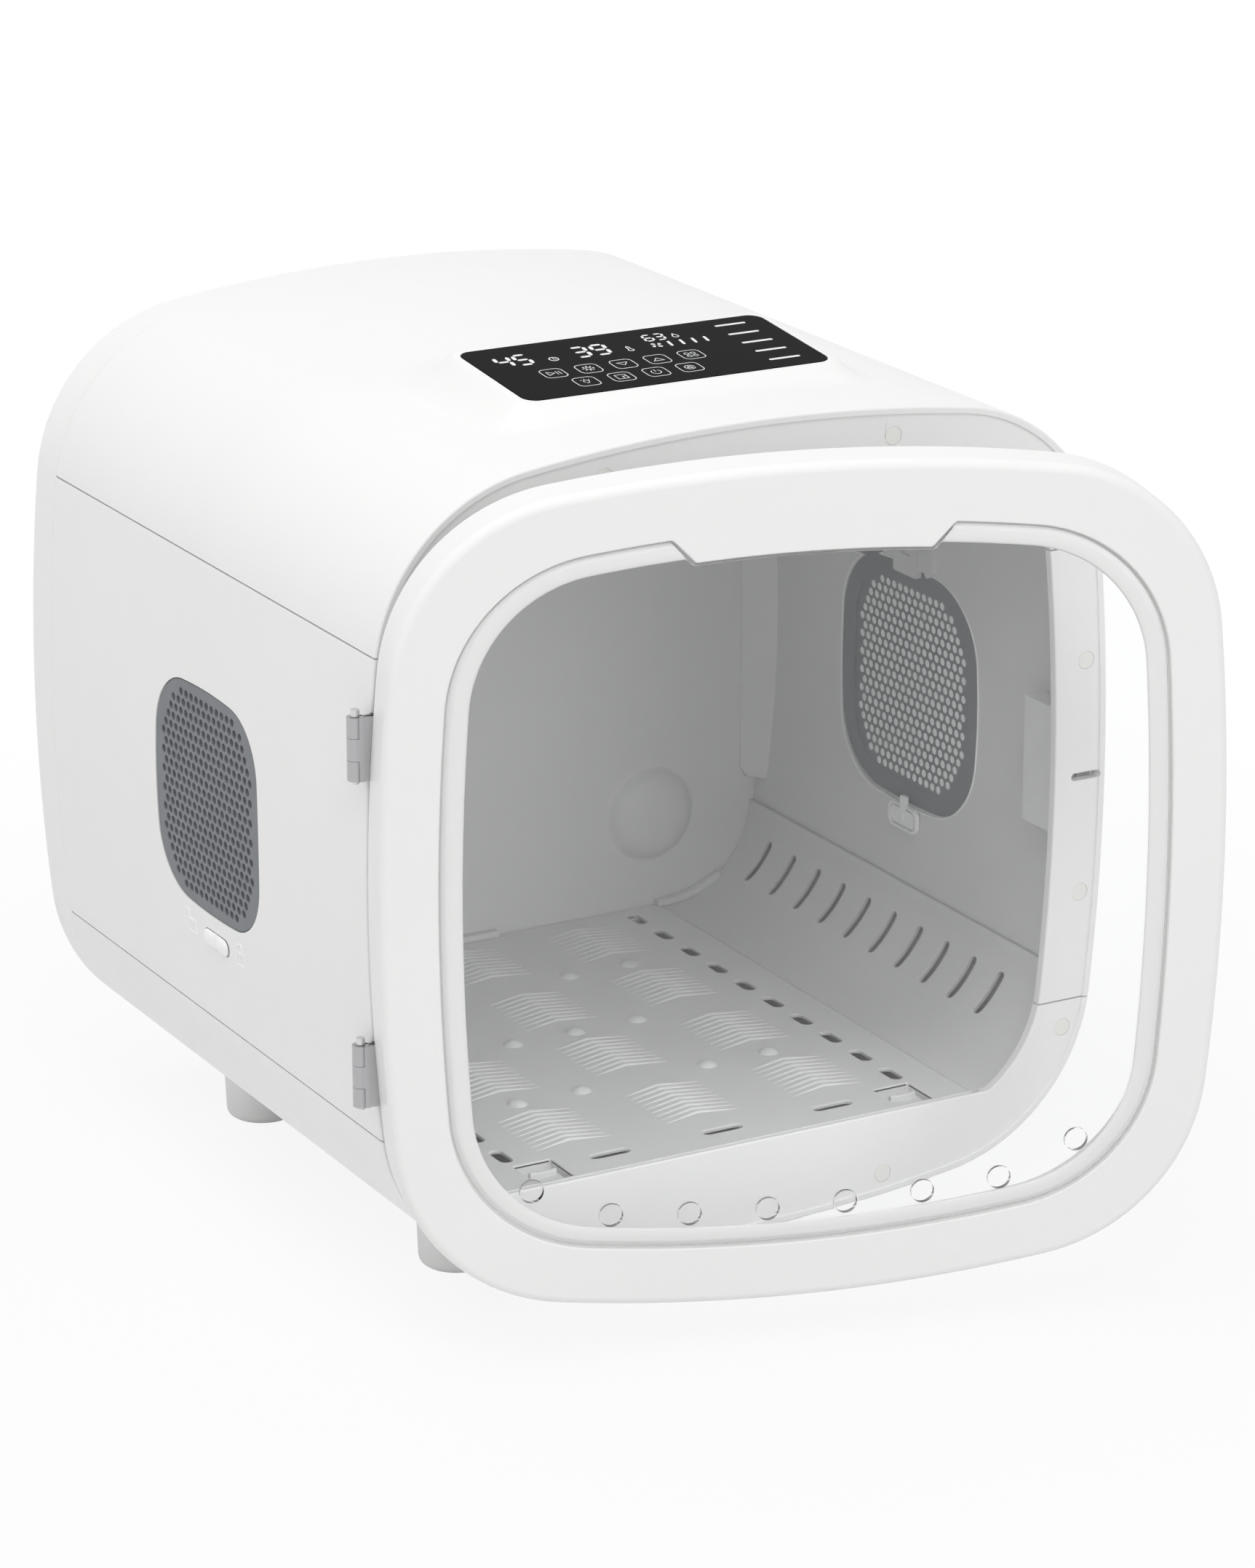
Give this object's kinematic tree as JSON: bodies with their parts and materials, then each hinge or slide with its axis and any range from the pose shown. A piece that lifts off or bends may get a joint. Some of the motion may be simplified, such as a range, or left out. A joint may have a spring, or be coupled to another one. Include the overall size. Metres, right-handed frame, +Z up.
{
  "type": "pet drying cabinet",
  "caption": "Rounded white drying cabinet for small pets: hinged window door, vented sides, slotted floor tray, louvred lower corners, tilted display on top.",
  "frame": {"origin": "bottom centre of the bounding box with the door ajar by 15.2 degrees, so the feet stand on z = 0", "axes": "+Z up, the door faces -Y, +X to the right as seen from the front; the cabinet's own middle plane is at x = +0.0045"},
  "size_m": [0.459, 0.5798, 0.4891],
  "materials": {
    "white_shell": "satin white moulded plastic",
    "liner_grey": "light grey moulded plastic",
    "tray_grey": "light grey moulded plastic",
    "grille_grey": "blue-grey moulded plastic",
    "light_plastic": "light grey plastic",
    "foot_white": "white rubber",
    "satin_steel": "satin steel",
    "chrome_pin": "bright plated steel",
    "magnet": "plated magnet",
    "display_black": "black printed glass",
    "black_plastic": "black moulded plastic",
    "circuit_board": "green circuit board",
    "motor_steel": "zinc-plated steel",
    "heater_mica": "mica board",
    "heater_fins": "bare aluminium",
    "dark_plastic": "dark grey plastic",
    "filter_foam": "open filter foam",
    "clear_window": "clear acrylic"
  },
  "bodies": {
    "cabinet": {"top_cover": "white_shell", "left_side_panel": "white_shell", "right_side_panel": "white_shell", "bottom_shell": "white_shell", "back_cover": "white_shell", "chamber_liner": "liner_grey", "back_wall": "liner_grey", "left_louvre_panel": "liner_grey", "right_louvre_panel": "liner_grey", "floor_tray": "tray_grey", "left_vent_grille": "grille_grey", "right_vent_grille": "grille_grey", "left_grille_clip": "light_plastic", "right_grille_clip": "light_plastic", "latch_housing": "liner_grey", "door_switch": "black_plastic", "rim_magnets": "magnet", "front_left_foot": "foot_white", "front_right_foot": "foot_white", "rear_left_foot": "foot_white", "rear_right_foot": "foot_white", "foot_screws": "satin_steel", "display_glass": "display_black", "display_module": "black_plastic", "control_board": "circuit_board", "climate_sensor": "circuit_board", "blower_housing": "black_plastic", "blower_cover": "black_plastic", "blower_motor": "motor_steel", "heater_frame": "heater_mica", "heater_element": "heater_fins", "power_board": "circuit_board", "power_inlet": "black_plastic", "intake_cover": "dark_plastic", "intake_filter": "filter_foam", "cover_screws": "satin_steel", "upper_body_leaf": "satin_steel", "lower_body_leaf": "satin_steel", "upper_hinge_pin": "chrome_pin", "lower_hinge_pin": "chrome_pin", "body_leaf_screws": "satin_steel"},
    "door": {"door_frame": "white_shell", "door_back_ring": "white_shell", "window_panel": "clear_window", "door_magnets": "magnet", "door_tongue": "white_shell", "upper_door_leaf": "satin_steel", "lower_door_leaf": "satin_steel", "door_leaf_screws": "satin_steel"},
    "left_lock": {"left_lock_slider": "light_plastic"},
    "right_lock": {"right_lock_slider": "light_plastic"},
    "left_latch": {"left_tray_latch": "tray_grey"},
    "right_latch": {"right_tray_latch": "tray_grey"},
    "fan": {"blower_wheel": "black_plastic"}
  },
  "joints": [
    {"name": "door_hinge", "type": "hinge", "parent": "cabinet", "child": "door", "pos_m": [-0.2251, -0.14168, 0.24995], "axis": [0, 0, -1], "range_deg": [-15.2, 100]},
    {"name": "left_lock_slide", "type": "slide", "parent": "cabinet", "child": "left_lock", "axis": [0, 1, 0], "range_m": [-0.006, 0.006]},
    {"name": "right_lock_slide", "type": "slide", "parent": "cabinet", "child": "right_lock", "axis": [0, 1, 0], "range_m": [-0.006, 0.006]},
    {"name": "left_latch_slide", "type": "slide", "parent": "cabinet", "child": "left_latch", "axis": [0, 1, 0], "range_m": [0, 0.006]},
    {"name": "right_latch_slide", "type": "slide", "parent": "cabinet", "child": "right_latch", "axis": [0, 1, 0], "range_m": [0, 0.006]},
    {"name": "fan_spin", "type": "hinge", "parent": "cabinet", "child": "fan", "pos_m": [0.1455, 0.22992, 0.133], "axis": [0, 1, 0], "continuous": true}
  ]
}
